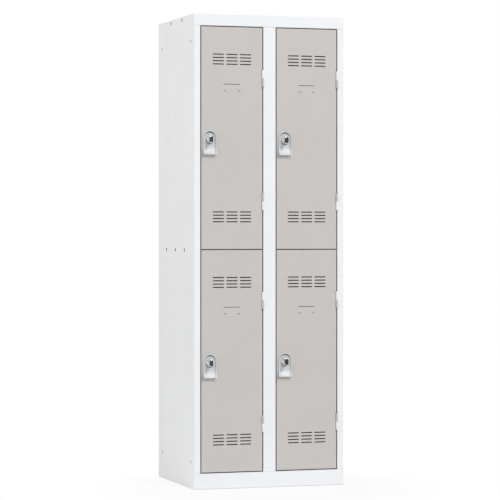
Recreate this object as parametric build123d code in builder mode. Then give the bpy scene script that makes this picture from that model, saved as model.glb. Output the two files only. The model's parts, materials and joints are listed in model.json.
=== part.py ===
from build123d import *
import os

# Steel locker cabinet: two columns by two tiers, with four keyed doors hinged on their right edge.
# Millimetres. X runs to the right, Y runs back from the front face and Z runs up.
# The origin is on the floor, in the middle of the plinth's front edge.

# Carcass
cabinet_width = 600
cabinet_depth = 500
cabinet_height = 1800
sheet = 0.8  # thickness of all folded steel
bend_radius = 1.2  # inside radius of a fold
side_stile_width = 25
centre_stile_width = 50
top_rail_height = 44
plinth_height = 60
return_depth = 20  # front face to the strip that the doors close against
stop_lip = 12  # width of that strip
rear_flange = 15
weld_flange = 12  # front flange of the partition, behind the centre stile
weld_seam = 0.2  # paint between the stile and that flange
floor_flange = 20
tray_flange = 24  # turned-down edge of the top and the shelves
tray_inset = 30  # side flanges of top and bottom stop this far from front and back
panel_clearance = 0.3  # between folded edges that meet at a corner

# Openings punched in the side panels
joining_hole_radius = 4.5
joining_hole_front = 46.5  # from the front face
joining_hole_rear = 55  # from the rear face
joining_hole_end = 102.5  # from the floor and from the top
lug_slot_width = 10.5
lug_slot_height = 13
lug_slot_corner = 1.5
lug_height = 11
lug_clearance = 0.3  # between a lug and the front edge of its slot
lug_window_length = 14  # opening that a lug leaves in its tray's side flange
lug_drop = 12  # top of a tray to the middle of its lugs
shelf_lug_middle = 257.5
shelf_lug_spacing = 249
top_lug_middle = 241.5
top_lug_spacing = 153
shelf_hole_radius = 6
shelf_hole_clearance = 3  # round the same hole in the shelf's side flange

# Rear panel
rivet_radius = 1.6
rivet_head_radius = 3.2
rivet_head_height = 0.8
rivet_bulb_radius = 2.4
rivet_bulb_height = 1.2
rivet_count = 6
rivet_end = 90  # first and last rivets, from the floor and from the top
wall_hole_radius = 4
wall_hole_spacing = 300
wall_hole_drop = 45  # below the top of the cabinet

# Shelves
shelf_rise = 10  # top of the shelf above the middle of the gap between the doors
shelf_clearance = 0.6  # behind the door stops

# Doors
door_gap = 3.5
door_depth = 18
door_lip = 12  # inward lip behind the door's edges
vent_length = 44.5
vent_height = 4
vent_pitch_x = 54
vent_pitch_z = 12.4
vent_columns = 3
vent_rows = 4
vent_end = 104  # door end to the middle of the nearest row of vents
card_slot_length = 65
card_slot_height = 2
card_slot_drop = 217  # below the door's top edge
card_tab_width = 9
card_tab_height = 5
card_tab_stand = 1.6  # how far a tab stands out from the door
card_tab_drop = 25  # card slot to the upper edge of the tabs
card_tab_slit = 1.6  # height of the slit above a tab
stiffener_width = 14
stiffener_depth = 12
stiffener_flange = 8
stiffener_inset = 29  # hinged edge to the middle of the stiffener
stiffener_end = 20  # shorter than the door at each end
buffer_radius = 3.5
buffer_end = 60  # from the ends of the door
buffer_clearance = 0.3

# Hinges
hinge_stand = 2  # pin axis in front of the face
knuckle_radius = 4
knuckle_length = 32.5
knuckle_gap = 0.3
pin_radius = 2.5
pin_clearance = 0.06
leaf_thickness = 1.5
leaf_reach = 16  # pin axis to the rear edge of a leaf
hinge_clearance = 0.6  # round a knuckle in the edges beside it
hinge_end_clearance = 1.5
upper_hinge_drop = 193  # below the door's top edge
lower_hinge_rise = 181  # above the door's bottom edge

# Lock and its plate, from the door's lower left corner
lock_inset = 32.5
lock_rise = 415.5
plate_width = 52
plate_arch_rise = 8  # centre of the arched top above the lock
plate_drop = 57  # lock to the lower edge of the pull lip
rim_width = 4.5
rim_height = 6
plate_floor = 1.5
lip_reach = 18.5  # how far the pull lip stands out from the door
flare_height = 32  # the lip begins to curve outwards this far above its lower edge
spigot_radius = 1.8
spigot_rise = 23
spigot_length = 2.5
spigot_clearance = 0.2
boss_radius = 14.5
boss_taper = 1
boss_height = 12
boss_round = 1.5
boss_seat_round = 0.4  # where the boss meets the plate
barrel_radius = 9.5
barrel_clearance = 0.25
nut_across_corners = 28
nut_thickness = 4
plug_radius = 7.5
plug_face_radius = 10
plug_face_depth = 2
plug_recess = 0.4
lock_running_clearance = 0.05
cam_clearance = 1.5  # behind the door stop
cam_gap = 0.5  # between the barrel's end and the cam
cam_thickness = 2
cam_width = 16
cam_length = 38
cam_screw_radius = 2.5
cam_screw_length = 6
cam_screw_head_radius = 4.5
cam_screw_head_height = 2.5

# Key
key_thickness = 2
key_width = 8
key_insertion = 25
key_shoulder = 1.5
key_tang = 10
key_notch_count = 4
key_notch_pitch = 5
key_notch_depth = 2
bow_thickness = 4.5
bow_height = 21.5
bow_length = 27
bow_corner = 5
bow_hole_radius = 2.5
bow_hole_inset = 6

# Hanging rails and their supports
rail_depth = 275  # rail's axis behind the front face
rail_drop = 75  # rail's axis below the compartment's ceiling
rail_radius = 9
rail_wall = 1
rail_clearance = 0.1
support_base = 4
support_width = 34
support_rise = 32  # above the rail's axis
support_corner = 6
cup_wall = 3
cup_depth = 14
hook_drop = 125.5  # ceiling to the hook's lowest point
hook_reach = 36
hook_thickness = 8
hook_width = 10
hook_tip = 20
stud_radius = 2
stud_clearance = 0.2
stud_spacing = 46
support_nut_radius = 4
support_nut_height = 3.5
stud_end = 1  # stud beyond its nut

# Places that follow from these sizes
half_width = cabinet_width / 2
fold_radius = bend_radius + sheet  # outside radius of a fold
opening_top = cabinet_height - top_rail_height
opening_height = opening_top - plinth_height
stile_edge = half_width - side_stile_width
centre_edge = centre_stile_width / 2
opening_width = stile_edge - centre_edge
skin_inside = half_width - sheet
stop_rear = return_depth + sheet
rear_panel_front = cabinet_depth - 2 * sheet
door_width = opening_width - 2 * door_gap
door_height = (opening_height - 3 * door_gap) / 2
gap_middle = plinth_height + opening_height / 2
shelf_top = gap_middle + shelf_rise
shelf_front = stop_rear + shelf_clearance
shelf_rear = rear_panel_front - fold_radius  # clear of the partition's rear fold
hinge_x = door_width + door_gap / 2  # in a door's own frame, from its lower left front corner
notch_radius = knuckle_radius + hinge_clearance
hinge_length = 2 * knuckle_length + knuckle_gap
cam_front = stop_rear + cam_clearance
barrel_end = cam_front - cam_gap
cam_middle = (cam_width / 2 - cam_length) / 2  # of the cam's length, from the lock's axis
bow_front = -boss_height - key_shoulder
stud_length = support_base + support_nut_height + stud_end

doors = {
    "lower_left": (-stile_edge + door_gap, plinth_height + door_gap),
    "lower_right": (centre_edge + door_gap, plinth_height + door_gap),
    "upper_left": (-stile_edge + door_gap, gap_middle + door_gap / 2),
    "upper_right": (centre_edge + door_gap, gap_middle + door_gap / 2),
}
hinge_bottoms = {
    "lower": lower_hinge_rise - hinge_length / 2,
    "upper": door_height - upper_hinge_drop - hinge_length / 2,
}
ceilings = (shelf_top - sheet, cabinet_height - sheet)
rail_heights = [ceiling - rail_drop for ceiling in ceilings]
stud_heights = [height + step for height in rail_heights for step in (-stud_spacing / 2, stud_spacing / 2)]
stud_places = [(rail_depth, height) for height in stud_heights]
# Each wall with a support, and the direction it faces
support_walls = ((-skin_inside, 1), (-sheet / 2, -1), (sheet / 2, 1), (skin_inside, -1))

rivet_pitch = (cabinet_height - 2 * rivet_end) / (rivet_count - 1)
rivet_heights = [rivet_end + row * rivet_pitch for row in range(rivet_count)]
side_rivet_x = half_width - rear_flange / 2
partition_rivet_x = rear_flange / 2

joining_holes = [
    (depth, height)
    for depth in (joining_hole_front, cabinet_depth - joining_hole_rear)
    for height in (joining_hole_end, cabinet_height - joining_hole_end)
]
shelf_lugs = [
    (shelf_lug_middle + side * shelf_lug_spacing / 2, shelf_top - lug_drop) for side in (-1, 1)
]
top_lugs = [(top_lug_middle + side * top_lug_spacing / 2, cabinet_height - lug_drop) for side in (-1, 1)]
lug_edge = lug_clearance - lug_slot_width / 2  # slot's middle to the front face of its lug
shelf_lug_edges = [(depth + lug_edge, height) for depth, height in shelf_lugs]
top_lug_edges = [(depth + lug_edge, height) for depth, height in top_lugs]

os.makedirs("parts", exist_ok=True)


# Side panels: rear flange, skin, front stile, return and door stop folded from one sheet
with BuildPart() as left_side_panel:
    with BuildSketch(Plane.XY.offset(plinth_height)):
        with BuildLine():
            FilletPolyline(
                (-half_width + rear_flange, cabinet_depth),
                (-half_width, cabinet_depth),
                (-half_width, 0),
                (-stile_edge, 0),
                (-stile_edge, return_depth),
                (-stile_edge + stop_lip, return_depth),
                radius=(fold_radius, fold_radius, fold_radius, bend_radius),
            )
            offset(amount=sheet, side=Side.LEFT)
        make_face()
    extrude(amount=opening_height)
    # Only the skin and the rear flange run on past the plinth and the top rail
    for base, height in ((0, plinth_height), (opening_top, top_rail_height)):
        with BuildSketch(Plane.XY.offset(base)):
            with BuildLine():
                FilletPolyline(
                    (-half_width + rear_flange, cabinet_depth),
                    (-half_width, cabinet_depth),
                    (-half_width, sheet),
                    radius=fold_radius,
                )
                offset(amount=sheet, side=Side.LEFT)
            make_face()
        extrude(amount=height)
    with BuildSketch():
        with Locations((-half_width, floor_flange + panel_clearance)):
            Rectangle(floor_flange, cabinet_depth - 2 * floor_flange, align=(Align.MIN, Align.MIN))
    extrude(amount=sheet)
    with BuildSketch(Plane.YZ.offset(-half_width)):
        with Locations(*joining_holes):
            Circle(joining_hole_radius)
        with Locations(*shelf_lugs, *top_lugs):
            RectangleRounded(lug_slot_width, lug_slot_height, lug_slot_corner)
        with Locations((shelf_lug_middle, shelf_top - lug_drop)):
            Circle(shelf_hole_radius)
    extrude(amount=sheet, mode=Mode.SUBTRACT)
    with BuildSketch(Plane.XZ.offset(-cabinet_depth)):
        with Locations(*[(-side_rivet_x, height) for height in rivet_heights]):
            Circle(rivet_radius)
    extrude(amount=sheet, mode=Mode.SUBTRACT)
    # Studs welded inside for the rail supports
    with BuildSketch(Plane.YZ.offset(-skin_inside)):
        with Locations(*stud_places):
            Circle(stud_radius)
    extrude(amount=stud_length)
left_side_panel.part.label = "left_side_panel"
export_step(left_side_panel.part, "parts/left_side_panel.step")

with BuildPart() as right_side_panel:
    mirror(left_side_panel.part, about=Plane.YZ)
    # Notches in the stile's edge round the hinges of the right-hand doors
    for name in ("lower_right", "upper_right"):
        for bottom in hinge_bottoms.values():
            with BuildSketch(Plane.XY.offset(doors[name][1] + bottom - hinge_end_clearance)):
                with Locations((doors[name][0] + hinge_x, -hinge_stand)):
                    Rectangle(2 * notch_radius, 2 * notch_radius)
            extrude(amount=hinge_length + 2 * hinge_end_clearance, mode=Mode.SUBTRACT)
right_side_panel.part.label = "right_side_panel"
export_step(right_side_panel.part, "parts/right_side_panel.step")


# Centre stile: a hat section open to the rear, with a door stop on each side
with BuildPart() as centre_stile:
    with BuildSketch(Plane.XY.offset(plinth_height)):
        with BuildLine():
            FilletPolyline(
                (-centre_edge - stop_lip, return_depth),
                (-centre_edge, return_depth),
                (-centre_edge, 0),
                (centre_edge, 0),
                (centre_edge, return_depth),
                (centre_edge + stop_lip, return_depth),
                radius=(bend_radius, fold_radius, fold_radius, bend_radius),
            )
            offset(amount=sheet, side=Side.LEFT)
        make_face()
    extrude(amount=opening_height)
    # Notches in the edge round the hinges of the left-hand doors
    for name in ("lower_left", "upper_left"):
        for bottom in hinge_bottoms.values():
            with BuildSketch(Plane.XY.offset(doors[name][1] + bottom - hinge_end_clearance)):
                with Locations((doors[name][0] + hinge_x, -hinge_stand)):
                    Rectangle(2 * notch_radius, 2 * notch_radius)
            extrude(amount=hinge_length + 2 * hinge_end_clearance, mode=Mode.SUBTRACT)
centre_stile.part.label = "centre_stile"
export_step(centre_stile.part, "parts/centre_stile.step")


# Centre partition: welded behind the stile's face, flanged along the rear panel
with BuildPart() as centre_partition:
    with BuildSketch(Plane.XY.offset(plinth_height)):
        with BuildLine():
            FilletPolyline(
                (weld_flange, sheet + weld_seam),
                (-sheet / 2, sheet + weld_seam),
                (-sheet / 2, rear_panel_front),
                (rear_flange, rear_panel_front),
                radius=fold_radius,
            )
            offset(amount=sheet, side=Side.RIGHT)
        make_face()
    extrude(amount=cabinet_height - sheet - panel_clearance - plinth_height)
    with BuildSketch(Plane.XY.offset(opening_top)):
        Rectangle(2 * weld_flange, 2 * (stop_rear + panel_clearance))
    extrude(amount=top_rail_height, mode=Mode.SUBTRACT)
    with BuildSketch(Plane.XZ.offset(-rear_panel_front)):
        with Locations(*[(partition_rivet_x, height) for height in rivet_heights]):
            Circle(rivet_radius)
    extrude(amount=sheet, mode=Mode.SUBTRACT)
    with BuildSketch(Plane.YZ):
        with Locations(*stud_places):
            Circle(stud_radius)
    extrude(amount=stud_length + sheet / 2, both=True)
centre_partition.part.label = "centre_partition"
export_step(centre_partition.part, "parts/centre_partition.step")


# Top panel: rear flange, top, top rail, return and door stops folded from one sheet
with BuildPart() as top_panel:
    with BuildSketch(Plane.YZ.offset(-half_width)):
        with BuildLine():
            FilletPolyline(
                (cabinet_depth, cabinet_height - rear_flange),
                (cabinet_depth, cabinet_height),
                (0, cabinet_height),
                (0, opening_top),
                (return_depth, opening_top),
                (return_depth, opening_top - stop_lip),
                radius=(fold_radius, fold_radius, fold_radius, bend_radius),
            )
            offset(amount=sheet, side=Side.LEFT)
        make_face()
    extrude(amount=cabinet_width)
    # The side skins come up behind the top rail, and the rear corners are relieved
    with BuildSketch(Plane.XY.offset(opening_top - stop_lip)):
        for side in (-1, 1):
            with Locations((side * half_width, sheet)):
                Rectangle(2 * sheet, cabinet_depth, align=(Align.CENTER, Align.MIN))
            with Locations((side * half_width, cabinet_depth)):
                Rectangle(2 * (rear_flange + panel_clearance), 2 * fold_radius)
    extrude(amount=top_rail_height + stop_lip, mode=Mode.SUBTRACT)
    # The door stops run between the stops of the stiles
    with BuildSketch(Plane.XY.offset(opening_top - stop_lip)):
        with Locations((0, return_depth)):
            Rectangle(2 * (centre_edge + stop_lip + panel_clearance), 2 * bend_radius)
        for side in (-1, 1):
            with Locations((side * half_width, return_depth)):
                Rectangle(2 * (side_stile_width + stop_lip + panel_clearance), 2 * bend_radius)
    extrude(amount=stop_lip + sheet, mode=Mode.SUBTRACT)
    for side in (-1, 1):
        with BuildSketch(Plane.YZ.offset(side * skin_inside)):
            with Locations((tray_inset, cabinet_height - sheet)):
                Rectangle(cabinet_depth - 2 * tray_inset, tray_flange - sheet, align=(Align.MIN, Align.MAX))
        extrude(amount=-side * sheet)
        # Each lug is bent outwards at the front edge of its window
        with BuildSketch(Plane.YZ.offset(side * skin_inside)):
            with Locations(*top_lug_edges):
                Rectangle(lug_window_length, lug_slot_height, align=(Align.MIN, Align.CENTER))
        extrude(amount=-side * sheet, mode=Mode.SUBTRACT)
        with BuildSketch(Plane.YZ.offset(side * half_width)):
            with Locations(*top_lug_edges):
                Rectangle(sheet, lug_height, align=(Align.MIN, Align.CENTER))
        extrude(amount=-side * 2 * sheet)
top_panel.part.label = "top_panel"
export_step(top_panel.part, "parts/top_panel.step")


# Bottom panel: floor flange, plinth, compartment floor and rear flange folded from one sheet
with BuildPart() as bottom_panel:
    with BuildSketch(Plane.YZ.offset(-half_width)):
        with BuildLine():
            FilletPolyline(
                (floor_flange, 0),
                (0, 0),
                (0, plinth_height),
                (rear_panel_front, plinth_height),
                (rear_panel_front, plinth_height - tray_flange),
                radius=fold_radius,
            )
            offset(amount=sheet, side=Side.RIGHT)
        make_face()
    extrude(amount=cabinet_width)
    with BuildSketch():
        for side in (-1, 1):
            with Locations((side * half_width, sheet)):
                Rectangle(2 * sheet, cabinet_depth, align=(Align.CENTER, Align.MIN))
            with Locations((side * half_width, rear_panel_front)):
                Rectangle(2 * fold_radius, 2 * fold_radius)
    extrude(amount=plinth_height, mode=Mode.SUBTRACT)
    for side in (-1, 1):
        with BuildSketch(Plane.YZ.offset(side * skin_inside)):
            with Locations((tray_inset, plinth_height - sheet)):
                Rectangle(cabinet_depth - 2 * tray_inset, tray_flange - sheet, align=(Align.MIN, Align.MAX))
        extrude(amount=-side * sheet)
bottom_panel.part.label = "bottom_panel"
export_step(bottom_panel.part, "parts/bottom_panel.step")


# Rear panel, inside the flanges of the side panels
with BuildPart() as rear_panel:
    with BuildSketch(Plane.XZ.offset(-rear_panel_front)):
        Rectangle(
            cabinet_width - 2 * fold_radius,
            cabinet_height - fold_radius,
            align=(Align.CENTER, Align.MIN),
        )
        for column_x in (-side_rivet_x, partition_rivet_x, side_rivet_x):
            with Locations(*[(column_x, height) for height in rivet_heights]):
                Circle(rivet_radius, mode=Mode.SUBTRACT)
        with Locations((0, cabinet_height - wall_hole_drop)):
            with GridLocations(wall_hole_spacing, 0, 2, 1):
                Circle(wall_hole_radius, mode=Mode.SUBTRACT)
    extrude(amount=-sheet)
rear_panel.part.label = "rear_panel"
export_step(rear_panel.part, "parts/rear_panel.step")

# Rivets through the rear panel: at the sides its flange is outside, at the partition it is inside
with BuildPart() as rear_panel_rivets:
    for column_x, inner_face in (
        (-side_rivet_x, rear_panel_front),
        (partition_rivet_x, rear_panel_front - sheet),
        (side_rivet_x, rear_panel_front),
    ):
        for rivet_z in rivet_heights:
            with BuildSketch(Plane.XY.offset(rivet_z)):
                with BuildLine():
                    Polyline(
                        (column_x, inner_face - rivet_bulb_height),
                        (column_x + rivet_bulb_radius, inner_face - rivet_bulb_height),
                        (column_x + rivet_bulb_radius, inner_face),
                        (column_x + rivet_radius, inner_face),
                        (column_x + rivet_radius, inner_face + 2 * sheet),
                        (column_x + rivet_head_radius, inner_face + 2 * sheet),
                        (column_x + rivet_radius, inner_face + 2 * sheet + rivet_head_height),
                        (column_x, inner_face + 2 * sheet + rivet_head_height),
                        close=True,
                    )
                make_face()
            revolve(axis=Axis((column_x, 0, rivet_z), (0, 1, 0)))
rear_panel_rivets.part.label = "rear_panel_rivets"
export_step(rear_panel_rivets.part, "parts/rear_panel_rivets.step")


# Shelves between the tiers: shallow trays with lugs through the side panels
with BuildPart() as left_shelf:
    with BuildSketch(Plane.XY.offset(shelf_top)):
        with Locations((-skin_inside, shelf_front)):
            Rectangle(skin_inside - sheet / 2, shelf_rear - shelf_front, align=(Align.MIN, Align.MIN))
    extrude(amount=-tray_flange)
    fillet(left_shelf.faces().sort_by(Axis.Z)[-1].edges(), fold_radius)
    offset(amount=-sheet, openings=left_shelf.faces().sort_by(Axis.Z)[0])
    # Each lug is bent outwards at the front edge of its window
    with BuildSketch(Plane.YZ.offset(-skin_inside)):
        with Locations(*shelf_lug_edges):
            Rectangle(lug_window_length, lug_slot_height, align=(Align.MIN, Align.CENTER))
        with Locations((shelf_lug_middle, shelf_top - lug_drop)):
            Circle(shelf_hole_radius + shelf_hole_clearance)
    extrude(amount=sheet, mode=Mode.SUBTRACT)
    with BuildSketch(Plane.YZ.offset(-half_width)):
        with Locations(*shelf_lug_edges):
            Rectangle(sheet, lug_height, align=(Align.MIN, Align.CENTER))
    extrude(amount=2 * sheet)
left_shelf.part.label = "left_shelf"
export_step(left_shelf.part, "parts/left_shelf.step")

with BuildPart() as right_shelf:
    mirror(left_shelf.part, about=Plane.YZ)
right_shelf.part.label = "right_shelf"
export_step(right_shelf.part, "parts/right_shelf.step")


# Hanging rails, one across each compartment
with BuildPart() as hanging_rails:
    for rail_start in (-skin_inside + support_base, sheet / 2 + support_base):
        with BuildSketch(Plane.YZ.offset(rail_start)):
            with Locations(*[(rail_depth, height) for height in rail_heights]):
                Circle(rail_radius)
                Circle(rail_radius - rail_wall, mode=Mode.SUBTRACT)
        extrude(amount=skin_inside - sheet / 2 - 2 * support_base)
hanging_rails.part.label = "hanging_rails"
export_step(hanging_rails.part, "parts/hanging_rails.step")

# Rail supports: a base on two studs, a cup for the rail's end and a coat hook below it
with BuildPart() as rail_supports:
    for wall_x, facing in support_walls:
        for ceiling in ceilings:
            rail_z = ceiling - rail_drop
            hook_z = ceiling - hook_drop
            with BuildSketch(Plane.YZ.offset(wall_x)):
                with Locations((rail_depth, hook_z)):
                    RectangleRounded(
                        support_width,
                        hook_drop - rail_drop + support_rise,
                        support_corner,
                        align=(Align.CENTER, Align.MIN),
                    )
            extrude(amount=facing * support_base)
            with BuildSketch(Plane.YZ.offset(wall_x)):
                with Locations((rail_depth, rail_z)):
                    Circle(rail_radius + rail_clearance + cup_wall)
            extrude(amount=facing * cup_depth)
            with BuildSketch(Plane.YZ.offset(wall_x + facing * support_base)):
                with Locations((rail_depth, rail_z)):
                    Circle(rail_radius + rail_clearance)
            extrude(amount=facing * cup_depth, mode=Mode.SUBTRACT)
            with BuildSketch(Plane.XZ.offset(-rail_depth)):
                with Locations((wall_x + facing * hook_reach / 2, hook_z)):
                    Rectangle(hook_reach, hook_thickness, align=(Align.CENTER, Align.MIN))
                with Locations((wall_x + facing * (hook_reach - hook_thickness / 2), hook_z)):
                    Rectangle(hook_thickness, hook_tip, align=(Align.CENTER, Align.MIN))
            extrude(amount=hook_width / 2, both=True)
            with BuildSketch(Plane.YZ.offset(wall_x)):
                with Locations((rail_depth, rail_z)):
                    with GridLocations(0, stud_spacing, 1, 2):
                        Circle(stud_radius + stud_clearance)
            extrude(amount=facing * support_base, mode=Mode.SUBTRACT)
rail_supports.part.label = "rail_supports"
export_step(rail_supports.part, "parts/rail_supports.step")

with BuildPart() as support_nuts:
    for wall_x, facing in support_walls:
        with BuildSketch(Plane.YZ.offset(wall_x + facing * support_base)):
            with Locations(*stud_places):
                RegularPolygon(support_nut_radius, 6)
                Circle(stud_radius, mode=Mode.SUBTRACT)
        extrude(amount=facing * support_nut_height)
support_nuts.part.label = "support_nuts"
export_step(support_nuts.part, "parts/support_nuts.step")


# Rubber buffers on the door stops, at the lock side of each door
with BuildPart() as door_buffers:
    for door_x, door_z in doors.values():
        buffer_x = door_x + (stop_lip - door_gap) / 2
        with BuildSketch(Plane.XZ.offset(-return_depth)):
            with Locations((buffer_x, door_z + buffer_end), (buffer_x, door_z + door_height - buffer_end)):
                Circle(buffer_radius)
        extrude(amount=return_depth - door_depth - buffer_clearance)
door_buffers.part.label = "door_buffers"
export_step(door_buffers.part, "parts/door_buffers.step")


# Hinge halves on the carcass: outer knuckle of each hinge, its leaf against the stile's return
with BuildPart() as frame_hinge_leaves:
    for door_x, door_z in doors.values():
        for knuckle_z in (
            door_z + hinge_bottoms["lower"],
            door_z + hinge_bottoms["upper"] + knuckle_length + knuckle_gap,
        ):
            with BuildSketch(Plane((door_x + hinge_x, -hinge_stand, knuckle_z))):
                Circle(knuckle_radius)
                with Locations((door_gap / 2, 0)):
                    Rectangle(leaf_thickness, leaf_reach, align=(Align.MAX, Align.MIN))
                Circle(pin_radius, mode=Mode.SUBTRACT)
            extrude(amount=knuckle_length)
frame_hinge_leaves.part.label = "frame_hinge_leaves"
export_step(frame_hinge_leaves.part, "parts/frame_hinge_leaves.step")

with BuildPart() as hinge_pins:
    for door_x, door_z in doors.values():
        for hinge_bottom in hinge_bottoms.values():
            with BuildSketch(Plane((door_x + hinge_x, -hinge_stand, door_z + hinge_bottom))):
                Circle(pin_radius)
            extrude(amount=hinge_length)
hinge_pins.part.label = "hinge_pins"
export_step(hinge_pins.part, "parts/hinge_pins.step")


# Everything below is made once, in the frame of a door's lower left front corner, and placed
# four times at the end.

# Door panel: a folded pan with lips turned inwards behind its edges
with BuildPart() as door_panel:
    with BuildSketch(Plane.XZ):
        Rectangle(door_width, door_height, align=(Align.MIN, Align.MIN))
    extrude(amount=-door_depth)
    fillet(door_panel.faces().sort_by(Axis.Y)[0].edges(), fold_radius)
    offset(amount=-sheet, openings=door_panel.faces().sort_by(Axis.Y)[-1])
    with BuildSketch(Plane.XZ.offset(-door_depth)):
        with Locations((door_width / 2, door_height / 2)):
            Rectangle(door_width, door_height)
            Rectangle(door_width - 2 * door_lip, door_height - 2 * door_lip, mode=Mode.SUBTRACT)
    extrude(amount=sheet)
    # Vents, card holder and lock holes through the face
    vent_middle = vent_end + (vent_rows - 1) * vent_pitch_z / 2
    card_slot_z = door_height - card_slot_drop
    card_tab_z = card_slot_z - card_tab_drop
    card_tab_x = (card_slot_length - card_tab_width) / 2
    with BuildSketch(Plane.XZ):
        with Locations((door_width / 2, vent_middle), (door_width / 2, door_height - vent_middle)):
            with GridLocations(vent_pitch_x, vent_pitch_z, vent_columns, vent_rows):
                SlotOverall(vent_length, vent_height)
        with Locations((door_width / 2, card_slot_z)):
            Rectangle(card_slot_length, card_slot_height)
        with Locations((door_width / 2 - card_tab_x, card_tab_z), (door_width / 2 + card_tab_x, card_tab_z)):
            Rectangle(card_tab_width, card_tab_slit, align=(Align.CENTER, Align.MIN))
        with Locations((lock_inset, lock_rise)):
            Circle(barrel_radius + barrel_clearance)
        with Locations((lock_inset, lock_rise + spigot_rise)):
            Circle(spigot_radius + spigot_clearance)
    extrude(amount=-sheet, mode=Mode.SUBTRACT)
    # Lanced tabs that the card stands behind
    for tab_x in (door_width / 2 - card_tab_x, door_width / 2 + card_tab_x):
        with BuildSketch(Plane.YZ.offset(tab_x - card_tab_width / 2)):
            with BuildLine():
                Polyline(
                    (sheet, card_tab_z - card_tab_height),
                    (0, card_tab_z - card_tab_height),
                    (-card_tab_stand, card_tab_z),
                    (sheet - card_tab_stand, card_tab_z),
                    close=True,
                )
            make_face()
        extrude(amount=card_tab_width)
    # Notches round the hinge knuckles
    for hinge_bottom in hinge_bottoms.values():
        with BuildSketch(Plane.XY.offset(hinge_bottom - hinge_end_clearance)):
            with Locations((hinge_x, -hinge_stand)):
                Rectangle(2 * notch_radius, 2 * notch_radius)
        extrude(amount=hinge_length + 2 * hinge_end_clearance, mode=Mode.SUBTRACT)

# Hat-shaped stiffener behind the face, beside the hinged edge
with BuildPart() as door_stiffener:
    stiffener_x = door_width - stiffener_inset
    crown = stiffener_width / 2
    with BuildSketch(Plane.XY.offset(stiffener_end)):
        with BuildLine():
            FilletPolyline(
                (stiffener_x - crown - stiffener_flange, sheet),
                (stiffener_x - crown, sheet),
                (stiffener_x - crown, stiffener_depth),
                (stiffener_x + crown, stiffener_depth),
                (stiffener_x + crown, sheet),
                (stiffener_x + crown + stiffener_flange, sheet),
                radius=(fold_radius, bend_radius, bend_radius, fold_radius),
            )
            offset(amount=sheet, side=Side.LEFT)
        make_face()
    extrude(amount=door_height - 2 * stiffener_end)

# Hinge halves on the door: inner knuckle of each hinge, its leaf against the door's edge
with BuildPart() as door_hinge_leaves:
    for knuckle_z in (hinge_bottoms["lower"] + knuckle_length + knuckle_gap, hinge_bottoms["upper"]):
        with BuildSketch(Plane((hinge_x, -hinge_stand, knuckle_z))):
            Circle(knuckle_radius)
            with Locations((-door_gap / 2, 0)):
                Rectangle(leaf_thickness, leaf_reach, align=(Align.MIN, Align.MIN))
            Circle(pin_radius + pin_clearance, mode=Mode.SUBTRACT)
        extrude(amount=knuckle_length)

# Lock plate: an arched dish whose lower end flares out as a pull lip
plate_bottom = lock_rise - plate_drop
flare_top = plate_bottom + flare_height
arch_centre = lock_rise + plate_arch_rise
plate_top = arch_centre + plate_width / 2
lip_rear = -lip_reach + rim_height
lip_floor = lip_rear - plate_floor
dish_width = plate_width - 2 * rim_width

with BuildPart() as plate_dish:
    with BuildSketch(Plane.YZ.offset(lock_inset - dish_width / 2)):
        with BuildLine():
            Polyline(
                (lip_floor, plate_bottom),
                (-2 * lip_reach, plate_bottom),
                (-2 * lip_reach, plate_top),
                (-plate_floor, plate_top),
                (-plate_floor, flare_top),
            )
            TangentArc((-plate_floor, flare_top), (lip_floor, plate_bottom), tangent=(0, -1))
        make_face()
    extrude(amount=dish_width)
    with BuildSketch(Plane.XZ):
        with Locations((lock_inset, arch_centre)):
            Circle(dish_width / 2)
            Rectangle(dish_width, arch_centre - plate_bottom, align=(Align.CENTER, Align.MAX))
    extrude(amount=2 * lip_reach, mode=Mode.INTERSECT)

with BuildPart() as lock_plate:
    with BuildSketch(Plane.YZ.offset(lock_inset - plate_width / 2)):
        with BuildLine():
            TangentArc((0, flare_top), (lip_rear, plate_bottom), tangent=(0, -1))
            Line((lip_rear, plate_bottom), (-lip_reach, plate_bottom))
            TangentArc((-rim_height, flare_top), (-lip_reach, plate_bottom), tangent=(0, -1))
            Polyline((-rim_height, flare_top), (-rim_height, plate_top), (0, plate_top), (0, flare_top))
        make_face()
    extrude(amount=plate_width)
    with BuildSketch(Plane.XZ):
        with Locations((lock_inset, arch_centre)):
            Circle(plate_width / 2)
            Rectangle(plate_width, arch_centre - plate_bottom, align=(Align.CENTER, Align.MAX))
    extrude(amount=lip_reach, mode=Mode.INTERSECT)
    add(plate_dish.part, mode=Mode.SUBTRACT)
    with BuildSketch(Plane.XZ):
        with Locations((lock_inset, lock_rise)):
            Circle(barrel_radius + barrel_clearance)
    extrude(amount=boss_height, mode=Mode.SUBTRACT)
    with BuildSketch(Plane.XZ):
        with Locations((lock_inset, lock_rise + spigot_rise)):
            Circle(spigot_radius)
    extrude(amount=-spigot_length)

lock_axis = Axis((lock_inset, 0, lock_rise), (0, 1, 0))

# Lock housing: chromed boss in front of the plate, barrel through the door
with BuildPart() as lock_housing:
    with BuildSketch(Plane.XY.offset(lock_rise)):
        with BuildLine():
            FilletPolyline(
                (lock_inset + barrel_radius, -plate_floor),
                (lock_inset + boss_radius, -plate_floor),
                (lock_inset + boss_radius - boss_taper, -boss_height),
                (lock_inset + plug_face_radius + lock_running_clearance, -boss_height),
                radius=(boss_seat_round, boss_round),
            )
            Polyline(
                (lock_inset + plug_face_radius + lock_running_clearance, -boss_height),
                (lock_inset + plug_face_radius + lock_running_clearance, -boss_height + plug_face_depth),
                (lock_inset + plug_radius + lock_running_clearance, -boss_height + plug_face_depth),
                (lock_inset + plug_radius + lock_running_clearance, barrel_end),
                (lock_inset + barrel_radius, barrel_end),
                (lock_inset + barrel_radius, -plate_floor),
            )
        make_face()
    revolve(axis=lock_axis)

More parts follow.
